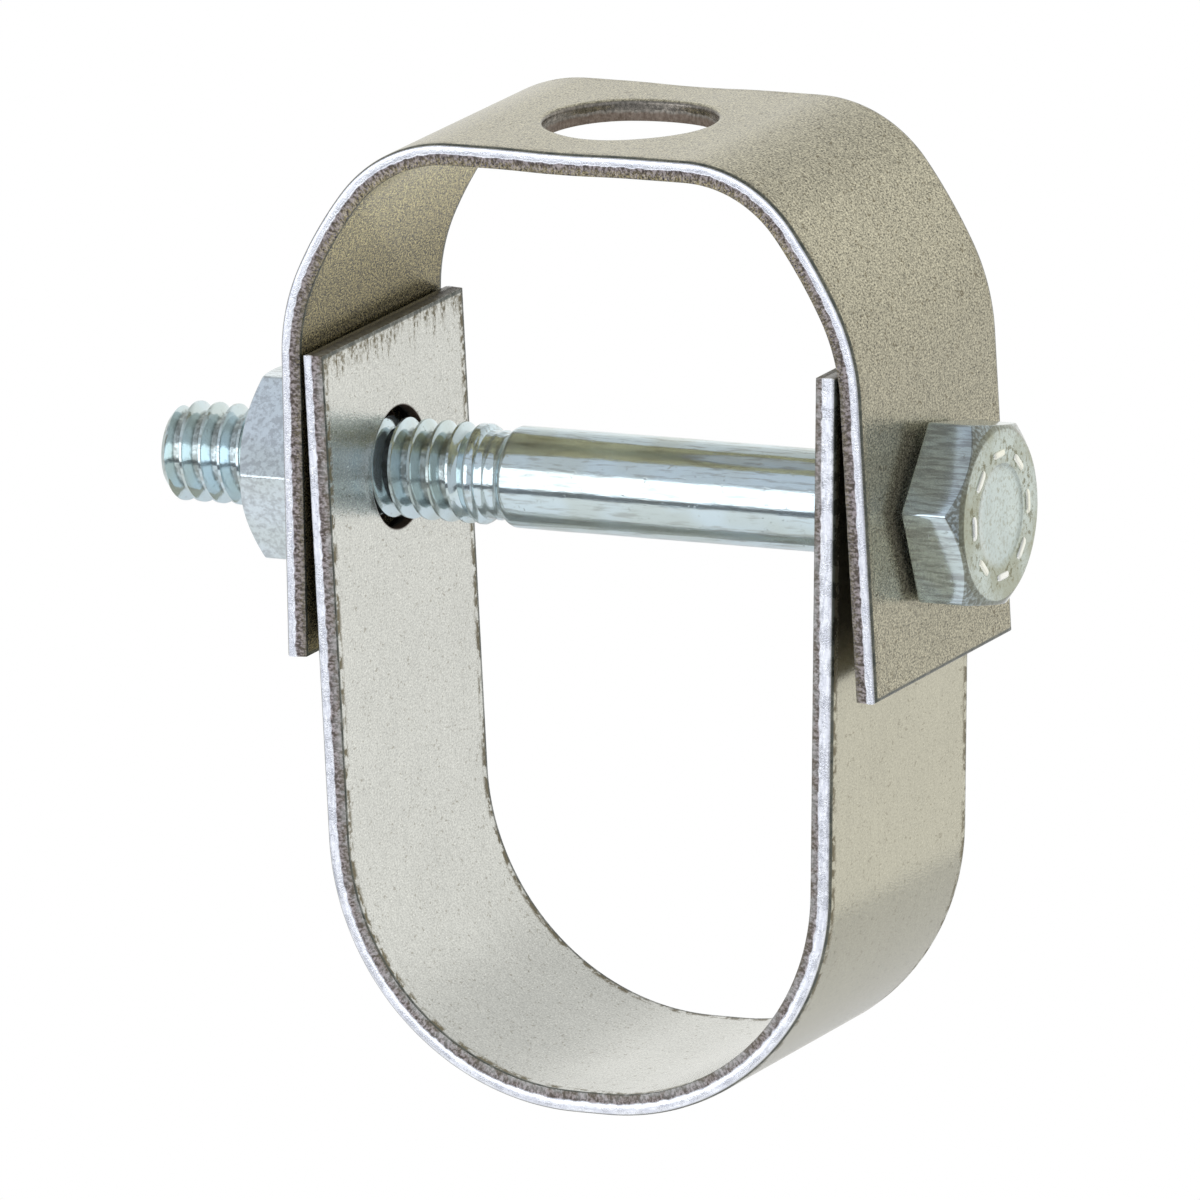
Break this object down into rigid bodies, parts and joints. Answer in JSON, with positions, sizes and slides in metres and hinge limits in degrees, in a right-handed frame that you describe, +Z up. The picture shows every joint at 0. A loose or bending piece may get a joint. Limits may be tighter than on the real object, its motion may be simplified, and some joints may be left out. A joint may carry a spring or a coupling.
{
  "type": "clevis pipe hanger",
  "caption": "Clevis hanger for small steel pipe: a bent strap with a rod hole, a U-shaped strap hung inside it, and a threaded cross bolt with its hex nut.",
  "frame": {"origin": "centre of the rod hole, halfway through the top plate", "axes": "+X along the cross bolt towards its head, +Y from front to back, +Z up along the rod"},
  "size_m": [0.0547, 0.019, 0.0587],
  "materials": {
    "galvanised_strap": "satin zinc coat, bare sheared edges",
    "zinc_plated_steel": "bright zinc plate"
  },
  "bodies": {
    "upper_yoke": {"upper_yoke": "galvanised_strap"},
    "lower_yoke": {"lower_yoke": "galvanised_strap"},
    "cross_bolt": {"cross_bolt": "zinc_plated_steel"},
    "hex_nut": {"hex_nut": "zinc_plated_steel"}
  },
  "joints": [
    {"name": "lower_yoke_swing", "type": "hinge", "parent": "upper_yoke", "child": "lower_yoke", "pos_m": [0, 0, -0.02173], "axis": [1, 0, 0], "range_deg": [-5.5, 5.5]},
    {"name": "bolt_spin", "type": "hinge", "parent": "upper_yoke", "child": "cross_bolt", "pos_m": [0, 0, -0.02173], "axis": [1, 0, 0], "range_deg": [0, 2880]},
    {"name": "nut_travel", "type": "slide", "parent": "upper_yoke", "child": "hex_nut", "axis": [-1, 0, 0], "range_m": [0, 0.0102]}
  ],
  "couplings": [
    {"joint": "nut_travel", "follows": "bolt_spin", "m_per_rad": 0.00020213}
  ]
}
